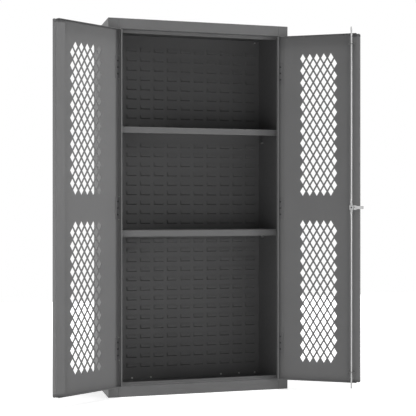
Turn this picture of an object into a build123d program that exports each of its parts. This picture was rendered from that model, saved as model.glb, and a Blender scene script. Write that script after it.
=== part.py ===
from build123d import *
import os
from collections import namedtuple
from math import cos, radians, sin, tan

# Carcass, millimetres
width = 914.4
depth = 457.2
height = 1828.8
sheet = 1.9                 # every folded steel sheet
bend_radius = 3.0           # outer radius of a fold
stile_width = 50.8
header_height = 50.8
sill_height = 50.8
return_depth = 28.0         # how far the frame folds back round the door opening
stop_lip = 15.0             # what the doors close against, at header and sill
back_flange = 18.0

# Louvred liner on the back wall
louvre_pitch_x = 73.2
louvre_pitch_z = 50.8
louvre_width = 50.5
louvre_height = 21.0
louvre_proud = 7.0
louvre_nose = 15.0          # upright stretch below the mouth of a louvre
louvre_drop = 65.6          # mouth of the top row below the cabinet's top
louvre_side_margin = 15.0   # least plain strip beside the outer columns
louvre_foot_margin = 60.0   # least plain strip below the bottom row
louvre_field_margin = 6.0   # above and below a column's louvres
louvre_sheet = 1.5
liner_foot_screws = (-254.0, -152.0, 237.0, 340.0, 430.0)
liner_head_screws = (430.0,)
liner_screw_inset = 8.0     # from the floor or the ceiling

# Shelves
shelf_tops = {"upper_shelf": 1310.5, "lower_shelf": 802.5}
shelf_setback = 50.0        # front edge behind the front plane
shelf_lip = 30.0
shelf_gap = 0.8             # to each side wall
shelf_back_gap = 1.4        # to the louvres
shelf_hem = 12.0
bracket_length = 46.0
bracket_ledge = 22.0
bracket_drop = 30.0
bracket_sheet = 2.0
bracket_inset = 30.0        # from the shelf's front and back edges
bracket_bolt_pitch = 24.0

# Small fasteners
bolt_radius = 3.0
bolt_head_radius = 5.5
bolt_head_height = 2.6
bolt_clearance = 0.1
screw_radius = 2.0
screw_head_radius = 4.6
screw_head_height = 2.2
screw_tail = 1.2
rivet_radius = 2.4
rivet_head_radius = 4.4
rivet_head_height = 1.6
rivet_clearance = 0.02
head_rounding = 0.7

# Doors
door_open = 149.6           # degrees from closed, as the doors stand
door_depth = 25.4
door_head_gap = 6.4         # below the header
door_foot_gap = 2.6         # above the sill
door_setback = 0.0          # outer face behind the front plane
hinge_gap = 2.0             # between a door's edge and its stile
meeting_gap = 1.4           # between the two doors
right_reach = 412.7         # free edge of the right door from its hinge axis
hinge_lip = 8.0
free_lip = 52.3
corner_relief = 18.0        # free edge's folds stop this far short of the corners
corner_radius = 9.0

# Diamond mesh punched through the skins
mesh_first = 126.0          # first column from the hinge axis
mesh_columns = 10
mesh_rows = 12
mesh_pitch_x = 17.55
mesh_pitch_z = 60.37
mesh_strand = 7.6
mesh_spread = 830.4         # between the middles of the two panels

# Butt hinges, three to a door
hinge_height = 108.0
hinge_spread = 677.0        # from the middle hinge to the others
hinge_leaf = 1.9            # thickness of a leaf, which lies behind its stile's or door's face
hinge_leaf_width = 28.0     # from the hinge axis
axis_lead = 1.7             # hinge axis in front of the front plane
knuckles = 5
knuckle_gap = 0.4
pin_radius = 2.4
pin_clearance = 0.05
pin_head_radius = 3.8
pin_head_height = 1.5
barrel_clearance = 0.5
hinge_rivet_pitch = 31.5
hinge_rivet_along = 13.0    # from the hinge axis

# Latch on the right door
latch_rise = 2.5            # spindle above the door's middle
spindle_inset = 40.7        # from the free edge
spindle_radius = 6.0
spindle_clearance = 0.05
spindle_hole_radius = 8.0
spindle_square = 9.0
spindle_thread_radius = 4.0
thread_recess = 2.0
housing_radius = 11.0
washer_radius = 10.0
washer_gap = 0.1
washer_thickness = 1.5
cam_thickness = 3.0
cam_arm_width = 10.0
cam_hub_height = 21.5
cam_hub_front = 24.0
cam_hub_back = 10.2
tongue_height = 15.0
tongue_past_edge = 18.0
tongue_rounding = 4.0
cam_hole_radius = 2.2
cam_hole_along = 14.5
nut_width = 19.0
nut_height = 20.0
nut_thickness = 8.0
handle_turn = 120.0         # degrees from locked to free

# Lock rods
rod_radius = 4.0
rod_inset = 36.0            # rod axis behind the outer face
rod_past_door = 28.0        # reach of a rod beyond half the door's height
rod_tip_chamfer = 2.5
rod_eye_radius = 5.6
rod_eye_thickness = 5.0
rod_neck = 14.0             # flat stretch from the eye's middle into the rod
rod_tilt = 2.24             # degrees that a rod leans at the end of the turn
crank_radius = 27.0
crank_pin_radius = 2.2
crank_pin_clearance = 0.06
crank_head_radius = 4.2
crank_head_height = 2.2
crank_end_gap = 0.3
guide_span = 805.0          # from the door's middle to each rod guide
guide_width = 34.0
guide_reach = 46.0          # behind the outer face
guide_sheet = 2.0
guide_clearance = 0.5
guide_foot_width = 24.0
guide_foot_height = 18.0
guide_foot_shift = 4.0      # towards the free edge
guide_screw_pitch = 14.0

# Handle outside the right door
plate_width = 46.0
plate_height = 150.0
plate_thickness = 3.0
plate_rounding = 1.0
plate_corner = 15.0
plate_screw_spread = 60.0   # from the spindle
hub_radius = 17.0
hub_gap = 0.3
hub_length = 24.0
hub_seat = 7.0              # how deep the spindle sits in the hub
lever_length = 112.0
lever_end_radius = 9.0
lever_thickness = 11.0
lever_rounding = 2.0
plug_radius = 6.0
plug_clearance = 0.05
plug_depth = 14.0
plug_rim_radius = 8.0
plug_rim_height = 1.5
plug_gap = 0.2
keyway_width = 1.8
keyway_height = 7.0
keyway_depth = 8.0

# Places that follow from the sizes above
front = -depth / 2
back = depth / 2
wall = width / 2
jamb = wall - stile_width
header_bottom = height - header_height
liner_face = back - sheet - louvre_sheet
louvre_top = height - louvre_drop
louvre_field = 2 * (wall - sheet - louvre_side_margin - louvre_width / 2)
louvre_columns = 1 + int(louvre_field / louvre_pitch_x)
louvre_rows = 1 + int((louvre_top - louvre_height - louvre_foot_margin) / louvre_pitch_z)
hinge_x = jamb - hinge_gap / 2
hinge_y = front + door_setback - axis_lead
left_reach = 2 * hinge_x - meeting_gap - right_reach
door_bottom = sill_height + door_foot_gap
door_top = header_bottom - door_head_gap
door_height = door_top - door_bottom
mid_height = (door_bottom + door_top) / 2
field_height = (louvre_rows - 1) * louvre_pitch_z + louvre_height + 2 * louvre_field_margin
field_middle = louvre_top - field_height / 2 + louvre_field_margin
mesh_mids = (
    mid_height - mesh_spread / 2,
    mid_height + mesh_spread / 2,
)
spindle_reach = right_reach - spindle_inset
latch_height = mid_height + latch_rise
hinge_mids = (mid_height - hinge_spread, mid_height, mid_height + hinge_spread)
leaf_depths = (sheet, sheet + hinge_leaf)
barrel_radius = axis_lead + sheet + hinge_leaf
notch_reach = barrel_radius + barrel_clearance
washer_inset = door_depth + washer_gap
cam_inset = washer_inset + washer_thickness
nut_inset = cam_inset + cam_thickness
eye_inset = rod_inset - rod_eye_thickness / 2
rod_reach = door_height / 2 + rod_past_door
shelf_rear = liner_face - louvre_proud - shelf_back_gap
crank_cap = eye_inset + rod_eye_thickness + crank_end_gap
guide_foot_rise = (guide_foot_height - guide_sheet) / 2
spindle_start = -plate_thickness - hub_gap - hub_seat

Leaf = namedtuple("Leaf", "side frame inward")


def swing_frame(side, angle):
    """Frame on a hinge axis: x along the leaf at an angle from +X, z up."""
    axis = (side * hinge_x, hinge_y, 0)
    heading = (cos(radians(angle)), sin(radians(angle)), 0)
    return Plane(origin=axis, x_dir=heading, z_dir=(0, 0, 1))


# Each leaf's frame has x away from the hinge axis; inward says which way along y the cabinet lies
left_door = Leaf("left", swing_frame(-1, -door_open), 1)
right_door = Leaf("right", swing_frame(1, 180 + door_open), -1)
left_stile = Leaf("left", swing_frame(-1, 180), -1)
right_stile = Leaf("right", swing_frame(1, 0), 1)
reach_of = {"left": left_reach, "right": right_reach}


def local(leaf, along, inset):
    """A point of a leaf's plan: distance from the hinge axis, and depth behind the outer face."""
    return (along, leaf.inward * (axis_lead + inset))


def upright(leaf, inset, along=0.0, up=0.0):
    """Upright plane of a leaf: x away from the hinge axis, y up."""
    x, y = local(leaf, along, inset)
    return Plane(
        origin=leaf.frame.from_local_coords((x, y, up)),
        x_dir=leaf.frame.x_dir,
        z_dir=-leaf.frame.y_dir,
    )


def plan_box(leaf, along, inset, low, high):
    """Box between two distances from the hinge axis, two depths and two heights."""
    middle = local(leaf, sum(along) / 2, sum(inset) / 2)
    with BuildSketch(leaf.frame.offset(low)) as plan:
        with Locations(middle):
            Rectangle(along[1] - along[0], inset[1] - inset[0])
    return extrude(plan.sketch, amount=high - low, mode=Mode.PRIVATE)


def save(builder, name):
    """Label a finished piece and write it."""
    builder.part.label = name
    export_step(builder.part, f"parts/{name}.step")


def mirror_points(points, side):
    return [(side * x, y) for x, y in points]


def folded(points, side):
    """Section of a folded sheet, from its outer line; the sheet lies to one side of it."""
    with BuildSketch() as section:
        with BuildLine():
            FilletPolyline(*points, radius=bend_radius)
            offset(amount=sheet, side=side)
        make_face()
    return section.sketch


def flip(side, turned):
    """The other side of a line when it is drawn mirrored."""
    if not turned:
        return side
    return Side.LEFT if side == Side.RIGHT else Side.RIGHT


def cut_barrel_notches(leaf):
    """Room for the hinge barrels in the folded corner of a stile or a door."""
    for mid in hinge_mids:
        half = hinge_height / 2 + pin_head_height + barrel_clearance
        low, high = mid - half, mid + half
        depths = (-axis_lead, notch_reach - axis_lead)
        add(plan_box(leaf, (0, notch_reach), depths, low, high), mode=Mode.SUBTRACT)


def hinge_rivet_places():
    """Distance from the hinge axis, and height, of each rivet of one leaf's hinges."""
    return [
        (hinge_rivet_along, mid + step * hinge_rivet_pitch)
        for mid in hinge_mids for step in (-1, 0, 1)
    ]


def cut_hinge_rivet_holes(leaf):
    with BuildSketch(upright(leaf, 0)) as holes:
        with Locations(*hinge_rivet_places()):
            Circle(rivet_radius + rivet_clearance)
    extrude(holes.sketch, amount=-leaf.inward * sheet, mode=Mode.SUBTRACT)


def side_wall(leaf):
    """One sheet: side wall, front stile, its return, and a flange behind the back wall."""
    side = -1 if leaf.side == "left" else 1
    plan = [
        (wall - back_flange, back),
        (wall, back),
        (wall, front),
        (jamb, front),
        (jamb, front + return_depth),
    ]
    with BuildPart() as part:
        with BuildSketch():
            add(folded(mirror_points(plan, side), flip(Side.RIGHT, side < 0)))
        extrude(amount=height)
        cut_barrel_notches(leaf)
        cut_hinge_rivet_holes(leaf)
        with BuildSketch(Plane.YZ.offset(side * wall)):
            with Locations(*bracket_bolt_places()):
                Circle(bolt_radius + bolt_clearance)
        extrude(amount=-side * sheet, mode=Mode.SUBTRACT)
    return part


def bracket_mids():
    """Where the shelf brackets stand along the depth."""
    reach = bracket_inset + bracket_length / 2
    return (front + shelf_setback + reach, shelf_rear - reach)


def bracket_bolt_places():
    places = []
    for top in shelf_tops.values():
        for mid in bracket_mids():
            for step in (-1, 1):
                up = top - shelf_lip - bracket_drop / 2
                places.append((mid + step * bracket_bolt_pitch / 2, up))
    return places


def rail(edge, outward):
    """Header or sill: face, return and stop lip, between the stiles.

    edge is the height of the opening's edge, and outward is +1 at the header and -1 at the sill.
    """
    face = header_height if outward > 0 else sill_height
    section = [
        (front, edge + outward * face),
        (front, edge),
        (front + return_depth, edge),
        (front + return_depth, edge - outward * stop_lip),
    ]
    with BuildPart() as part:
        with BuildSketch(Plane.YZ.offset(-jamb)):
            add(folded(section, flip(Side.LEFT, outward < 0)))
        extrude(amount=2 * jamb)
    return part


def cover(low):
    """Top or bottom sheet, from the rail's face to the back wall."""
    with BuildPart() as part:
        with BuildSketch(Plane.XY.offset(low)):
            with Locations((0, (front + back) / 2)):
                RectangleRounded(2 * (wall - sheet), depth - 2 * sheet, bend_radius - sheet)
            for side in (-1, 1):
                with Locations((side * (jamb + sheet / 2), front + return_depth / 2)):
                    Rectangle(sheet, return_depth, mode=Mode.SUBTRACT)
        extrude(amount=sheet)
    return part


def louvre_outline(top, shell):
    """Side view of one louvre; shell is 0 for its outside, or a sheet's thickness for its inside."""
    slope = (louvre_height - louvre_nose) / louvre_proud
    foot = top - louvre_height + shell * (1 + slope ** 2) ** 0.5
    root = liner_face + louvre_sheet / 2
    proud = louvre_proud - shell
    return [
        (root + shell, foot),
        (liner_face, foot),
        (liner_face - proud, foot + proud * slope),
        (liner_face - proud, top),
        (root + shell, top),
    ]


def louvre_column():
    """One column of open-topped louvres in a strip of sheet."""
    tops = [louvre_top - row * louvre_pitch_z for row in range(louvre_rows)]
    inner = louvre_width - 2 * louvre_sheet
    with BuildPart() as part:
        with BuildSketch(Plane.XZ.offset(-(liner_face + louvre_sheet))):
            with Locations((0, field_middle)):
                Rectangle(louvre_width, field_height)
        extrude(amount=louvre_sheet)
        with BuildSketch(Plane.YZ.offset(-louvre_width / 2)):
            for top in tops:
                with BuildLine():
                    Polyline(*louvre_outline(top, 0), close=True)
                make_face()
        extrude(amount=louvre_width)
        with BuildSketch(Plane.YZ.offset(-inner / 2)):
            for top in tops:
                with BuildLine():
                    Polyline(*louvre_outline(top, louvre_sheet), close=True)
                make_face()
        extrude(amount=inner, mode=Mode.SUBTRACT)
    return part


def louvre_liner():
    """Inner back sheet with columns of louvres that bins hook over."""
    middles = [
        (column - (louvre_columns - 1) / 2) * louvre_pitch_x for column in range(louvre_columns)
    ]
    strip = louvre_column().part
    with BuildPart() as part:
        with BuildSketch(Plane.XZ.offset(-(liner_face + louvre_sheet))):
            with Locations((0, height / 2)):
                Rectangle(2 * (wall - bend_radius), height - 2 * sheet)
            with Locations(*[(middle, field_middle) for middle in middles]):
                Rectangle(louvre_width, field_height, mode=Mode.SUBTRACT)
            with Locations(*liner_screw_places()):
                Circle(screw_radius, mode=Mode.SUBTRACT)
        extrude(amount=louvre_sheet)
        with Locations(*[(middle, 0, 0) for middle in middles]):
            add(strip)
    return part


def liner_screw_places():
    rows = (
        (sheet + liner_screw_inset, liner_foot_screws),
        (height - sheet - liner_screw_inset, liner_head_screws),
    )
    return [(x, z) for z, xs in rows for x in xs]


def back_wall():
    """Plain sheet behind the liner, inside the side walls' back flanges."""
    with BuildPart() as part:
        with BuildSketch(Plane.XZ.offset(-back)):
            with Locations((0, height / 2)):
                Rectangle(2 * (wall - back_flange), height)
        extrude(amount=sheet)
    return part


def shelf(top):
    """Inverted tray with a hem folded under its front lip."""
    span = 2 * (wall - sheet - shelf_gap)
    run = shelf_rear - front - shelf_setback
    middle = (shelf_rear + front + shelf_setback) / 2
    with BuildPart() as part:
        with BuildSketch(Plane.XY.offset(top - shelf_lip)):
            with Locations((0, middle)):
                Rectangle(span, run)
        extrude(amount=shelf_lip)
        fillet(part.edges().group_by(Axis.Z)[-1].filter_by(Axis.X), bend_radius)
        with BuildSketch(Plane.XY.offset(top - shelf_lip)):
            with Locations((0, middle)):
                Rectangle(span - 2 * sheet, run - 2 * sheet)
        extrude(amount=shelf_lip - sheet, mode=Mode.SUBTRACT)
        with BuildSketch(Plane.XY.offset(top - shelf_lip)):
            with Locations((0, front + shelf_setback + sheet + shelf_hem / 2)):
                Rectangle(span - 2 * sheet, shelf_hem)
        extrude(amount=sheet)
    return part


def dome(plane, shank_radius, shank, head_radius, head_height, places):
    """Fasteners at places on a plane: a shank below it and a round head above it."""
    with BuildPart() as part:
        with BuildSketch(plane.offset(-shank)):
            with Locations(*places):
                Circle(shank_radius)
        extrude(amount=shank)
        with BuildSketch(plane):
            with Locations(*places):
                Circle(head_radius)
        extrude(amount=head_height)
        rims = part.edges().filter_by(GeomType.CIRCLE)
        top = [e for e in rims if plane.to_local_coords(e.arc_center).Z > head_height / 2]
        fillet(top, head_rounding)
    return part


def brackets():
    """Angles screwed to the side walls; the shelves' lips stand on their ledges."""
    with BuildPart() as part:
        for side in (-1, 1):
            outer = side * (wall - sheet)
            for top in shelf_tops.values():
                ledge = top - shelf_lip
                section = [
                    (outer - side * bracket_ledge, ledge),
                    (outer, ledge),
                    (outer, ledge - bracket_drop),
                    (outer - side * bracket_sheet, ledge - bracket_drop),
                    (outer - side * bracket_sheet, ledge - bracket_sheet),
                    (outer - side * bracket_ledge, ledge - bracket_sheet),
                ]
                for mid in bracket_mids():
                    with BuildSketch(Plane.XZ.offset(-mid - bracket_length / 2)):
                        with BuildLine():
                            Polyline(*section, close=True)
                        make_face()
                    extrude(amount=bracket_length)
            with BuildSketch(Plane.YZ.offset(outer)):
                with Locations(*bracket_bolt_places()):
                    Circle(bolt_radius + bolt_clearance)
            extrude(amount=-side * bracket_sheet, mode=Mode.SUBTRACT)
    return part


def bracket_bolts():
    """Bolts through the brackets and side walls, heads inside."""
    with BuildPart() as part:
        for side in (-1, 1):
            seat = wall - sheet - bracket_sheet
            plane = Plane(origin=(side * seat, 0, 0), x_dir=(0, 1, 0), z_dir=(-side, 0, 0))
            places = [(y, -side * z) for y, z in bracket_bolt_places()]
            bolts = dome(
                plane, bolt_radius, bracket_sheet + sheet,
                bolt_head_radius, bolt_head_height, places,
            )
            add(bolts.part)
    return part


def liner_screws():
    """Screws that hold the liner to the back wall."""
    plane = Plane.XZ.offset(-liner_face)
    return dome(
        plane, screw_radius, louvre_sheet, screw_head_radius, screw_head_height,
        liner_screw_places(),
    )


def knuckle_spans(mid):
    """Low and high ends of each knuckle of the hinge at a height."""
    pitch = (hinge_height + knuckle_gap) / knuckles
    foot = mid - hinge_height / 2
    return [(foot + n * pitch, foot + (n + 1) * pitch - knuckle_gap) for n in range(knuckles)]


def hinge_leaves(leaf, first):
    """A leaf's half of its three hinges; it owns every second knuckle, from the first given."""
    with BuildPart() as part:
        for mid in hinge_mids:
            foot = mid - hinge_height / 2
            along = (notch_reach, hinge_leaf_width)
            add(plan_box(leaf, along, leaf_depths, foot, foot + hinge_height))
            for low, high in knuckle_spans(mid)[first::2]:
                with BuildSketch(leaf.frame.offset(low)):
                    Circle(barrel_radius)
                extrude(amount=high - low)
                add(plan_box(leaf, (0, notch_reach), leaf_depths, low, high))
            with BuildSketch(leaf.frame.offset(foot)):
                Circle(pin_radius + pin_clearance)
            extrude(amount=hinge_height, mode=Mode.SUBTRACT)
        with BuildSketch(upright(leaf, sheet)):
            with Locations(*hinge_rivet_places()):
                Circle(rivet_radius + rivet_clearance)
        extrude(amount=-leaf.inward * hinge_leaf, mode=Mode.SUBTRACT)
    return part


def hinge_rivets(leaf):
    """Rivets flush with the outer face, with their heads on the leaves behind it."""
    x, y = local(leaf, 0, sheet + hinge_leaf)
    inner = Plane(
        origin=leaf.frame.from_local_coords((x, y, 0)),
        x_dir=leaf.frame.x_dir,
        z_dir=leaf.inward * leaf.frame.y_dir,
    )
    places = [(along, -leaf.inward * up) for along, up in hinge_rivet_places()]
    return dome(
        inner, rivet_radius, sheet + hinge_leaf, rivet_head_radius, rivet_head_height, places,
    )


def hinge_pins(leaf):
    """Headed pins through the knuckles."""
    with BuildPart() as part:
        for mid in hinge_mids:
            low = mid - hinge_height / 2
            with BuildSketch(leaf.frame.offset(low)):
                Circle(pin_radius)
            extrude(amount=hinge_height)
            for end in (low - pin_head_height, low + hinge_height):
                with BuildSketch(leaf.frame.offset(end)):
                    Circle(pin_head_radius)
                extrude(amount=pin_head_height)
    return part


def mesh_holes(middle):
    """Middles of one panel's diamond holes: every second column is one row short."""
    places = []
    for column in range(mesh_columns):
        rows = mesh_rows - column % 2
        for row in range(rows):
            up = middle + (row - (rows - 1) / 2) * mesh_pitch_z
            places.append((mesh_first + column * mesh_pitch_x, up))
    return places


def mesh_diamond():
    """Corners of one hole, a strand's half width inside the lines of the lattice."""
    across, tall = mesh_pitch_x, mesh_pitch_z / 2
    to_line = across * tall / (across ** 2 + tall ** 2) ** 0.5
    share = 1 - mesh_strand / 2 / to_line
    return [(across * share, 0), (0, tall * share), (-across * share, 0), (0, -tall * share)]


def door_panel(leaf):
    """One folded pan: skin, hinge edge with a small lip, free edge with a wide one, and ends."""
    reach = reach_of[leaf.side]
    edge = hinge_gap / 2
    outline = [
        local(leaf, edge + hinge_lip, door_depth),
        local(leaf, edge, door_depth),
        local(leaf, edge, 0),
        local(leaf, reach, 0),
        local(leaf, reach, door_depth),
        local(leaf, reach - free_lip, door_depth),
    ]
    with BuildPart() as part:
        with BuildSketch(leaf.frame.offset(door_bottom)):
            add(folded(outline, Side.LEFT if leaf.inward > 0 else Side.RIGHT))
        extrude(amount=door_height)
        for low in (door_bottom, door_top - corner_relief):
            add(
                plan_box(
                    leaf, (reach - free_lip, reach), (bend_radius, door_depth),
                    low, low + corner_relief,
                ),
                mode=Mode.SUBTRACT,
            )
        for low in (door_bottom, door_top - sheet):
            add(plan_box(
                leaf, (edge + sheet / 2, reach - corner_relief), (sheet / 2, door_depth),
                low, low + sheet,
            ))
        skin_start = upright(leaf, 0)
        through = -leaf.inward * bend_radius
        with BuildSketch(skin_start):
            for up, turn in ((door_top, -1), (door_bottom, 1)):
                with Locations((reach - corner_radius / 2, up + turn * corner_radius / 2)):
                    Rectangle(corner_radius, corner_radius)
                with Locations((reach - corner_radius, up + turn * corner_radius)):
                    Circle(corner_radius, mode=Mode.SUBTRACT)
        extrude(amount=through, mode=Mode.SUBTRACT)
        cut_barrel_notches(leaf)
        cut_hinge_rivet_holes(leaf)
        if leaf.side == "right":
            with BuildSketch(skin_start):
                with Locations((spindle_reach, latch_height)):
                    Circle(spindle_hole_radius)
                with Locations(*plate_screw_places()):
                    Circle(screw_radius + bolt_clearance)
            extrude(amount=through, mode=Mode.SUBTRACT)
            with BuildSketch(upright(leaf, door_depth)):
                with Locations((spindle_reach, latch_height)):
                    Circle(spindle_hole_radius)
                with Locations(*guide_screw_places()):
                    Circle(screw_radius + bolt_clearance)
            extrude(amount=-sheet, mode=Mode.SUBTRACT)
        for middle in mesh_mids:
            centre = (mesh_first + (mesh_columns - 1) * mesh_pitch_x / 2, middle)
            field = ((mesh_columns + 1) * mesh_pitch_x, mesh_rows * mesh_pitch_z)
            with BuildSketch(skin_start):
                with Locations(centre):
                    Rectangle(*field)
            extrude(amount=through, mode=Mode.SUBTRACT)
            with BuildSketch(skin_start):
                with Locations(centre):
                    Rectangle(*field)
                with Locations(*mesh_holes(middle)):
                    Polygon(*mesh_diamond(), align=None, mode=Mode.SUBTRACT)
            extrude(amount=-leaf.inward * sheet)
    return part


def plate_screw_places():
    return [(spindle_reach, latch_height + side * plate_screw_spread) for side in (-1, 1)]


def guide_up(side):
    """Height of a rod guide above the spindle: side is +1 for the upper one and -1 for the lower."""
    return side * guide_span - latch_rise


def guide_screw_places():
    shift = spindle_reach + guide_foot_shift
    return [
        (shift + step * guide_screw_pitch / 2, latch_height + guide_up(side) + side * guide_foot_rise)
        for side in (-1, 1) for step in (-1, 1)
    ]


def rod_sway():
    """Furthest that a rod strays sideways from its guide's middle over the handle's turn."""
    furthest = 0
    for side in (-1, 1):
        for degree in range(int(handle_turn) + 1):
            turn = radians(degree)
            lean = radians(rod_tilt * degree / handle_turn)
            drop = abs(guide_up(side)) - crank_radius * cos(turn)
            furthest = max(furthest, abs(crank_radius * sin(turn) - drop * tan(lean)))
    return furthest


def at_spindle(inset, up=0.0):
    """Upright plane of the right door with its origin on the spindle; it faces the cabinet."""
    return upright(right_door, inset, spindle_reach, latch_height + up)


def outermost(part):
    """The face of a part that is furthest outside the right door."""
    return part.faces().sort_by(Axis((0, 0, 0), at_spindle(0).z_dir))[0]


def rod_guide(side):
    """Slotted tab that a lock rod slides through, on a foot screwed to the door's lip."""
    with BuildPart() as part:
        with BuildSketch(at_spindle(door_depth, guide_up(side) + side * guide_foot_rise)):
            with Locations((guide_foot_shift, 0)):
                Rectangle(guide_foot_width, guide_foot_height)
        extrude(amount=guide_sheet)
        with BuildSketch(at_spindle(door_depth, guide_up(side))):
            Rectangle(guide_width, guide_sheet)
        extrude(amount=guide_reach - door_depth)
        slot = at_spindle(rod_inset, guide_up(side))
        with BuildSketch(Plane(origin=slot.origin, x_dir=slot.x_dir, z_dir=(0, 0, 1))):
            SlotCenterToCenter(2 * rod_sway(), 2 * (rod_radius + guide_clearance))
        extrude(amount=guide_sheet, both=True, mode=Mode.SUBTRACT)
        with BuildSketch(upright(right_door, door_depth)):
            with Locations(*guide_screw_places()):
                Circle(screw_radius + bolt_clearance)
        extrude(amount=guide_sheet, mode=Mode.SUBTRACT)
    return part


def latch_plate():
    """Cam: two cranks for the rods and a tongue that reaches behind the other door."""
    with BuildPart() as part:
        with BuildSketch(at_spindle(cam_inset)) as outline:
            SlotCenterToCenter(2 * crank_radius, cam_arm_width, rotation=90)
            with Locations(((cam_hub_front - cam_hub_back) / 2, 0)):
                Rectangle(cam_hub_front + cam_hub_back, cam_hub_height)
            tip = spindle_inset + tongue_past_edge
            with Locations((tip / 2, 0)):
                RectangleRounded(tip, tongue_height, tongue_rounding)
            with Locations((cam_hole_along, 0)):
                Circle(cam_hole_radius, mode=Mode.SUBTRACT)
            with Locations((0, -crank_radius), (0, crank_radius)):
                Circle(crank_pin_radius, mode=Mode.SUBTRACT)
            Rectangle(spindle_square, spindle_square, mode=Mode.SUBTRACT)
        extrude(amount=cam_thickness)
    return part


def spindle():
    """Shaft from the handle's hub to the cam: round, then square, then threaded."""
    with BuildPart() as part:
        with BuildSketch(at_spindle(spindle_start)):
            Circle(spindle_radius)
        extrude(amount=cam_inset - spindle_start)
        with BuildSketch(at_spindle(cam_inset)):
            Rectangle(spindle_square, spindle_square)
        extrude(amount=cam_thickness)
        with BuildSketch(at_spindle(nut_inset)):
            Circle(spindle_thread_radius)
        extrude(amount=nut_thickness - thread_recess)
    return part


def ring(inset, thickness, outer, inner):
    with BuildPart() as part:
        with BuildSketch(at_spindle(inset)):
            Circle(outer)
            Circle(inner, mode=Mode.SUBTRACT)
        extrude(amount=thickness)
    return part


def latch_nut():
    with BuildPart() as part:
        with BuildSketch(at_spindle(nut_inset)):
            Rectangle(nut_width, nut_height)
            Circle(spindle_thread_radius, mode=Mode.SUBTRACT)
        extrude(amount=nut_thickness)
    return part


def crank_pins():
    """Shouldered pins riveted into the cam's cranks."""
    steps = (
        (cam_inset, nut_inset, crank_pin_radius),
        (nut_inset, eye_inset - crank_end_gap, crank_head_radius),
        (eye_inset - crank_end_gap, crank_cap, crank_pin_radius),
        (crank_cap, crank_cap + crank_head_height, crank_head_radius),
    )
    with BuildPart() as part:
        for low, high, radius in steps:
            with BuildSketch(at_spindle(low)):
                with Locations((0, -crank_radius), (0, crank_radius)):
                    Circle(radius)
            extrude(amount=high - low)
    return part


def lock_rod(side):
    """Rod with an eye on its crank pin and a tip that reaches past the door."""
    start = crank_radius + crank_head_radius + crank_end_gap
    with BuildPart() as part:
        foot = at_spindle(rod_inset, side * start)
        with BuildSketch(Plane(origin=foot.origin, x_dir=foot.x_dir, z_dir=(0, 0, side))):
            Circle(rod_radius)
        extrude(amount=rod_reach - start)
        end = part.edges().filter_by(GeomType.CIRCLE).sort_by(Axis.Z)[-1 if side > 0 else 0]
        chamfer(end, rod_tip_chamfer)
        with BuildSketch(at_spindle(eye_inset, side * crank_radius)):
            Circle(rod_eye_radius)
            with Locations((0, side * rod_neck / 2)):
                Rectangle(2 * rod_radius, rod_neck)
        extrude(amount=rod_eye_thickness)
        with BuildSketch(at_spindle(eye_inset, side * crank_radius)):
            Circle(crank_pin_radius + crank_pin_clearance)
        extrude(amount=rod_eye_thickness, mode=Mode.SUBTRACT)
    return part


def lock_plate():
    """Plate under the handle, on the outside of the door."""
    with BuildPart() as part:
        with BuildSketch(at_spindle(-plate_thickness)):
            RectangleRounded(plate_width, plate_height, plate_corner)
            Circle(spindle_hole_radius, mode=Mode.SUBTRACT)
            with Locations((0, plate_screw_spread), (0, -plate_screw_spread)):
                Circle(screw_radius + bolt_clearance, mode=Mode.SUBTRACT)
        extrude(amount=plate_thickness)
        fillet(outermost(part).outer_wire().edges(), plate_rounding)
    return part


def handle():
    """Hub with a lever hanging from it; bored for the lock plug outside and the spindle inside."""
    outside = -plate_thickness - hub_gap - hub_length
    with BuildPart() as part:
        with BuildSketch(at_spindle(outside)):
            Circle(hub_radius)
        extrude(amount=hub_length)
        with BuildSketch(at_spindle(outside)):
            with BuildLine():
                lean = (hub_radius - lever_end_radius) / (lever_length - lever_end_radius)
                rise = (1 - lean ** 2) ** 0.5
                middle = lever_end_radius - lever_length
                low_right = (lever_end_radius * rise, middle - lever_end_radius * lean)
                low_left = (-lever_end_radius * rise, middle - lever_end_radius * lean)
                high_right = (hub_radius * rise, -hub_radius * lean)
                high_left = (-hub_radius * rise, -hub_radius * lean)
                Line(high_left, low_left)
                ThreePointArc(low_left, (0, -lever_length), low_right)
                Line(low_right, high_right)
                ThreePointArc(high_right, (0, hub_radius), high_left)
            make_face()
        extrude(amount=lever_thickness)
        fillet(outermost(part).outer_wire().edges(), lever_rounding)
        with BuildSketch(at_spindle(outside)):
            Circle(plug_radius + plug_clearance)
        extrude(amount=plug_depth, mode=Mode.SUBTRACT)
        with BuildSketch(at_spindle(spindle_start)):
            Circle(spindle_radius)
        extrude(amount=hub_seat, mode=Mode.SUBTRACT)
    return part


def lock_plug():
    """Key plug with a rim over the hub and a keyway."""
    outside = -plate_thickness - hub_gap - hub_length
    rim = outside - plug_gap - plug_rim_height
    with BuildPart() as part:
        with BuildSketch(at_spindle(rim)):
            Circle(plug_rim_radius)
        extrude(amount=plug_rim_height)
        with BuildSketch(at_spindle(outside - plug_gap)):
            Circle(plug_radius)
        extrude(amount=plug_depth)
        with BuildSketch(at_spindle(rim)):
            Rectangle(keyway_width, keyway_height)
        extrude(amount=keyway_depth, mode=Mode.SUBTRACT)
    return part


def screws(plane, shank, places):
    return dome(plane, screw_radius, shank, screw_head_radius, screw_head_height, places)


def lock_plate_screws():
    """Screws through the plate and the skin, heads outside; their plane's y points down."""
    seat = upright(right_door, -plate_thickness)
    outward = Plane(origin=seat.origin, x_dir=seat.x_dir, z_dir=-seat.z_dir)
    places = [(along, -up) for along, up in plate_screw_places()]
    return screws(outward, plate_thickness + sheet + screw_tail, places)


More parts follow.
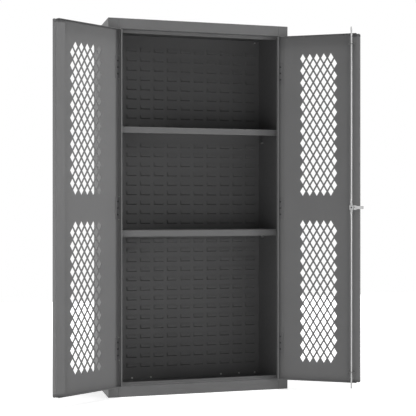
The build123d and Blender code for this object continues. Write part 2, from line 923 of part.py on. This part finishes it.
# Carcass
os.makedirs("parts", exist_ok=True)
for stile in (left_stile, right_stile):
    save(side_wall(stile), f"{stile.side}_side")
save(rail(header_bottom, 1), "header")
save(rail(sill_height, -1), "sill")
save(cover(height - sheet), "top_panel")
save(cover(0), "bottom_panel")
save(back_wall(), "back_wall")
save(louvre_liner(), "louvre_liner")
for name, top in shelf_tops.items():
    save(shelf(top), name)
save(brackets(), "shelf_brackets")
save(bracket_bolts(), "bracket_bolts")
save(liner_screws(), "liner_screws")

# Hinges and doors
for stile in (left_stile, right_stile):
    save(hinge_leaves(stile, 0), f"{stile.side}_frame_hinge_leaves")
    save(hinge_rivets(stile), f"{stile.side}_frame_rivets")
    save(hinge_pins(stile), f"{stile.side}_hinge_pins")
for door in (left_door, right_door):
    save(door_panel(door), f"{door.side}_door_panel")
    save(hinge_leaves(door, 1), f"{door.side}_door_hinge_leaves")
    save(hinge_rivets(door), f"{door.side}_door_rivets")

# Latch
save(rod_guide(1), "upper_rod_guide")
save(rod_guide(-1), "lower_rod_guide")
save(
    screws(
        upright(right_door, door_depth + guide_sheet),
        guide_sheet + sheet + screw_tail, guide_screw_places(),
    ),
    "rod_guide_screws",
)
save(ring(sheet, door_depth - 2 * sheet, housing_radius, spindle_radius + spindle_clearance),
     "spindle_housing")
save(lock_plate(), "lock_plate")
save(lock_plate_screws(), "lock_plate_screws")
save(spindle(), "spindle")
save(ring(washer_inset, washer_thickness, washer_radius, spindle_radius), "cam_washer")
save(latch_plate(), "latch_cam")
save(latch_nut(), "cam_nut")
save(crank_pins(), "crank_pins")
save(lock_rod(1), "upper_lock_rod")
save(lock_rod(-1), "lower_lock_rod")
save(handle(), "handle")
save(lock_plug(), "lock_plug")
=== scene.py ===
import math

import bpy
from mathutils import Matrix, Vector

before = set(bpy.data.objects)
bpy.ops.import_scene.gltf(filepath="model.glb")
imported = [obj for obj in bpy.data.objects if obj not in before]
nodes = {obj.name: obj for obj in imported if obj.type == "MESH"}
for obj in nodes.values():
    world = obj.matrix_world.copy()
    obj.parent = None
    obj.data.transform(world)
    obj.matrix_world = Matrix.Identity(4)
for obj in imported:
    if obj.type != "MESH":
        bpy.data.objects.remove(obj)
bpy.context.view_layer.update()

# Camera, found from the corners of the frame and of both doors
CAMERA_PLACE = (-1.2291, -4.8459, 0.914)
CAMERA_TURN = (90 - 0.015, 0, -15.362)
CAMERA_LENS = 83.87
SENSOR = 36

# Light
WORLD_LEVEL = 0.09
AIM = (0, 0, 0.95)
LAMPS = (
    # name, place, diameter, watts, whether it is seen in reflections
    ("left", (-5.4, -0.6, 1.2), 2.4, 132, True),
    ("top", (0.0, -1.4, 5.6), 2.4, 145, True),
    ("right", (5.0, -2.4, 2.2), 2.0, 62, True),
    ("right_front", (4.4, -3.4, 1.4), 2.0, 92, True),
    ("low_left", (-2.2, -3.4, 0.12), 2.0, 45, True),
    ("low_front", (0.4, -4.6, 0.3), 2.0, 23, True),
    ("back", (1.5, 5.0, 2.6), 2.4, 130, False),
)

# Floor
FLOOR_HALF = 4.6
FLOOR_NEAR = 2.0            # from here outwards the floor fades into the background
FLOOR_COLOUR = (0.90, 0.90, 0.90, 1)
FLOOR_LIFT = 0.62
FLOOR_EDGE_LIFT = 1

# Colours, linear
PAINT = (0.135, 0.135, 0.136)
# The hinge leaves wear a slightly darker copy of the grey paint: this is painted shade on the
# leaves, not a paint of their own
HINGE_SHADED_PAINT = (0.120, 0.120, 0.121)
ROD_STEEL = (0.32, 0.32, 0.32)
LATCH_STEEL = (0.29, 0.29, 0.29)
NUT_STEEL = (0.25, 0.25, 0.25)
DARK_STEEL = (0.05, 0.05, 0.052)
ZINC = (0.55, 0.55, 0.54)
CHROME = (0.36, 0.36, 0.365)
BRASS = (0.62, 0.50, 0.27)

# The usual range of a noise's values
NOISE_LOW = 0.3
NOISE_HIGH = 0.7

# Powder coat
PAINT_SPECULAR = 0.2
PAINT_CLOUDS = (5, 3, 0.97, 1.03)       # noise scale, detail, least and most
PAINT_GRAIN = (900, 2, 0.94, 1.06)
PAINT_ROUGHNESS = (60, 3, 0.44, 0.54)
PEEL_NOISE = (420, 2)                   # noise scale, detail
PEEL_BUMP = (0.18, 0.0004)              # strength, distance

# Metals
METAL_CLOUDS = (70, 3, 0.95, 1.05)
STREAK_NOISE = (3, 0.6)                 # detail, roughness
STREAK_TONES = (0.95, 1.05)
STREAK_ROUGHNESS = 0.06                 # either way
STREAK_BUMP = (0.1, 0.0002)
PLAIN = (1, 1, 1)                       # streaks not drawn out in any direction

# Which nodes wear which finish
PAINTED = (
    "left_side", "right_side", "header", "sill", "top_panel", "bottom_panel", "back_wall",
    "louvre_liner", "upper_shelf", "lower_shelf", "shelf_brackets",
    "left_door_panel", "right_door_panel", "upper_rod_guide", "lower_rod_guide",
    "rod_guide_screws",
)
HINGES = (
    "left_frame_hinge_leaves", "right_frame_hinge_leaves",
    "left_door_hinge_leaves", "right_door_hinge_leaves",
)
DRAWN_STEEL = ("upper_lock_rod", "lower_lock_rod")
PLATED_STEEL = ("latch_cam", "cam_washer", "spindle_housing", "crank_pins")
BLACKENED = (
    "left_frame_rivets", "right_frame_rivets", "left_door_rivets", "right_door_rivets", "spindle",
)
FASTENERS = (
    "bracket_bolts", "liner_screws", "left_hinge_pins", "right_hinge_pins",
    "lock_plate_screws",
)
BRIGHT = ("handle", "lock_plate")
COATS = (
    # name, colour, nodes
    ("grey_powder_coat", PAINT, PAINTED),
    # darker copy of the grey paint on the hinge leaves, painted shade
    ("hinge_shaded_powder_coat", HINGE_SHADED_PAINT, HINGES),
)
METALS = (
    # name, colour, roughness, stretch and scale of its streaks, nodes
    ("drawn_steel", ROD_STEEL, 0.46, (1, 1, 0.02), 900, DRAWN_STEEL),
    ("plated_steel", LATCH_STEEL, 0.46, PLAIN, 160, PLATED_STEEL),
    ("nut_steel", NUT_STEEL, 0.46, PLAIN, 160, ("cam_nut",)),
    ("blackened_steel", DARK_STEEL, 0.45, PLAIN, 300, BLACKENED),
    ("plated_fasteners", ZINC, 0.36, PLAIN, 300, FASTENERS),
    ("satin_chrome", CHROME, 0.36, (1, 1, 0.05), 700, BRIGHT),
    ("turned_brass", BRASS, 0.25, PLAIN, 500, ("lock_plug",)),
)


class Nodes:
    """Short calls for one material's or world's node tree."""

    def __init__(self, tree):
        self.tree = tree
        tree.nodes.clear()

    def new(self, kind, **settings):
        node = self.tree.nodes.new(kind)
        for name, value in settings.items():
            setattr(node, name, value)
        return node

    def link(self, source, target):
        self.tree.links.new(source, target)

    def place(self, stretch=PLAIN):
        """The piece's own coordinates in metres, stretched."""
        where = self.new("ShaderNodeTexCoord")
        mapping = self.new("ShaderNodeMapping")
        mapping.inputs["Scale"].default_value = stretch
        self.link(where.outputs["Object"], mapping.inputs["Vector"])
        return mapping.outputs["Vector"]

    def noise(self, place, scale, detail, roughness=0.5):
        node = self.new("ShaderNodeTexNoise")
        node.inputs["Scale"].default_value = scale
        node.inputs["Detail"].default_value = detail
        node.inputs["Roughness"].default_value = roughness
        self.link(place, node.inputs["Vector"])
        return node.outputs["Fac"]

    def ramp(self, value, start, end, low, high):
        """Maps a value's range from start to end to low and high."""
        node = self.new("ShaderNodeMapRange")
        node.inputs["From Min"].default_value = start
        node.inputs["From Max"].default_value = end
        node.inputs["To Min"].default_value = low
        node.inputs["To Max"].default_value = high
        self.link(value, node.inputs["Value"])
        return node.outputs["Result"]

    def spread(self, value, low, high):
        """Maps a noise's usual range to low and high."""
        return self.ramp(value, NOISE_LOW, NOISE_HIGH, low, high)

    def varied(self, place, scale, detail, low, high):
        """A noise that runs from low to high."""
        return self.spread(self.noise(place, scale, detail), low, high)

    def tint(self, colour, factor):
        """A colour made lighter or darker by a factor."""
        node = self.new("ShaderNodeVectorMath", operation="SCALE")
        node.inputs[0].default_value = colour[:3]
        self.link(factor, node.inputs["Scale"])
        return node.outputs["Vector"]

    def times(self, first, second):
        node = self.new("ShaderNodeMath", operation="MULTIPLY")
        self.link(first, node.inputs[0])
        self.link(second, node.inputs[1])
        return node.outputs["Value"]

    def bump(self, heights, strength, distance):
        node = self.new("ShaderNodeBump")
        node.inputs["Strength"].default_value = strength
        node.inputs["Distance"].default_value = distance
        self.link(heights, node.inputs["Height"])
        return node.outputs["Normal"]

    def surface(self, shader, kind="ShaderNodeOutputMaterial"):
        out = self.new(kind)
        self.link(shader, out.inputs["Surface"])


def new_material(name):
    material = bpy.data.materials.new(name)
    material.use_nodes = True
    return material, Nodes(material.node_tree)


def powder_coat(name, colour):
    """Satin powder coat: faint mottling, fine grain and the skin's orange peel."""
    material, tree = new_material(name)
    place = tree.place()
    cloud = tree.varied(place, *PAINT_CLOUDS)
    grain = tree.varied(place, *PAINT_GRAIN)
    shader = tree.new("ShaderNodeBsdfPrincipled")
    tree.link(tree.tint(colour, tree.times(cloud, grain)), shader.inputs["Base Color"])
    tree.link(tree.varied(place, *PAINT_ROUGHNESS), shader.inputs["Roughness"])
    shader.inputs["Specular IOR Level"].default_value = PAINT_SPECULAR
    tree.link(tree.bump(tree.noise(place, *PEEL_NOISE), *PEEL_BUMP), shader.inputs["Normal"])
    tree.surface(shader.outputs["BSDF"])
    return material


def metal(name, colour, rough, stretch, streak_scale):
    """Bare or plated metal with streaks, which the stretch can draw out along its length."""
    material, tree = new_material(name)
    along = tree.place(stretch)
    cloud = tree.varied(tree.place(), *METAL_CLOUDS)
    streaks = tree.noise(along, streak_scale, *STREAK_NOISE)
    shader = tree.new("ShaderNodeBsdfPrincipled")
    shader.inputs["Metallic"].default_value = 1
    tone = tree.times(cloud, tree.spread(streaks, *STREAK_TONES))
    tree.link(tree.tint(colour, tone), shader.inputs["Base Color"])
    roughness = tree.spread(streaks, rough - STREAK_ROUGHNESS, rough + STREAK_ROUGHNESS)
    tree.link(roughness, shader.inputs["Roughness"])
    tree.link(tree.bump(streaks, *STREAK_BUMP), shader.inputs["Normal"])
    tree.surface(shader.outputs["BSDF"])
    return material


def wear(material, names):
    """Puts a material on CAD nodes."""
    for name in names:
        slots = nodes[name].data.materials
        slots.clear()
        slots.append(material)


def seen_background(tree):
    """1 for rays that show the background itself: camera, glossy and transmission rays."""
    path = tree.new("ShaderNodeLightPath")
    total = path.outputs["Is Camera Ray"]
    for name in ("Is Glossy Ray", "Is Transmission Ray"):
        node = tree.new("ShaderNodeMath", operation="MAXIMUM")
        tree.link(total, node.inputs[0])
        tree.link(path.outputs[name], node.inputs[1])
        total = node.outputs["Value"]
    return total


def make_floor():
    """Plain pale floor, lifted towards white for the eye and not as light on the cabinet."""
    mesh = bpy.data.meshes.new("floor")
    half = FLOOR_HALF
    corners = [(-half, -half, 0), (half, -half, 0), (half, half, 0), (-half, half, 0)]
    mesh.from_pydata(corners, [], [(0, 1, 2, 3)])
    floor = bpy.data.objects.new("floor", mesh)
    bpy.context.collection.objects.link(floor)
    material, tree = new_material("floor")
    diffuse = tree.new("ShaderNodeBsdfDiffuse")
    diffuse.inputs["Color"].default_value = FLOOR_COLOUR
    lift = tree.new("ShaderNodeEmission")
    where = tree.new("ShaderNodeNewGeometry")
    reach = tree.new("ShaderNodeVectorMath", operation="LENGTH")
    tree.link(where.outputs["Position"], reach.inputs[0])
    rise = tree.ramp(
        reach.outputs["Value"], FLOOR_NEAR, FLOOR_HALF, FLOOR_LIFT, FLOOR_EDGE_LIFT,
    )
    tree.link(tree.times(seen_background(tree), rise), lift.inputs["Strength"])
    both = tree.new("ShaderNodeAddShader")
    tree.link(diffuse.outputs["BSDF"], both.inputs[0])
    tree.link(lift.outputs["Emission"], both.inputs[1])
    tree.surface(both.outputs["Shader"])
    mesh.materials.append(material)


def make_world():
    """White background, and a much weaker light on the cabinet."""
    world = bpy.data.worlds.new("studio")
    bpy.context.scene.world = world
    world.use_nodes = True
    tree = Nodes(world.node_tree)
    sky = tree.new("ShaderNodeBackground")
    sky.inputs["Color"].default_value = (1, 1, 1, 1)
    level = tree.ramp(seen_background(tree), 0, 1, WORLD_LEVEL, 1)
    tree.link(level, sky.inputs["Strength"])
    tree.surface(sky.outputs["Background"], "ShaderNodeOutputWorld")


def area_light(name, place, size, power, reflected):
    """Round soft lamp turned towards the cabinet's middle."""
    data = bpy.data.lights.new(name, "AREA")
    data.shape = "DISK"
    data.size = size
    data.energy = power
    lamp = bpy.data.objects.new(name, data)
    lamp.location = place
    lamp.visible_camera = False
    lamp.visible_glossy = reflected
    lamp.rotation_euler = (Vector(AIM) - Vector(place)).to_track_quat("-Z", "Y").to_euler()
    bpy.context.collection.objects.link(lamp)


def make_camera():
    data = bpy.data.cameras.new("camera")
    data.lens = CAMERA_LENS
    data.sensor_width = SENSOR
    camera = bpy.data.objects.new("camera", data)
    camera.location = CAMERA_PLACE
    camera.rotation_euler = [math.radians(turn) for turn in CAMERA_TURN]
    bpy.context.collection.objects.link(camera)
    bpy.context.scene.camera = camera


bpy.context.scene.view_settings.view_transform = "Standard"
make_camera()
make_world()
make_floor()
for lamp in LAMPS:
    area_light(*lamp)

for name, colour, names in COATS:
    wear(powder_coat(name, colour), names)
for name, colour, rough, stretch, streak_scale, names in METALS:
    wear(metal(name, colour, rough, stretch, streak_scale), names)
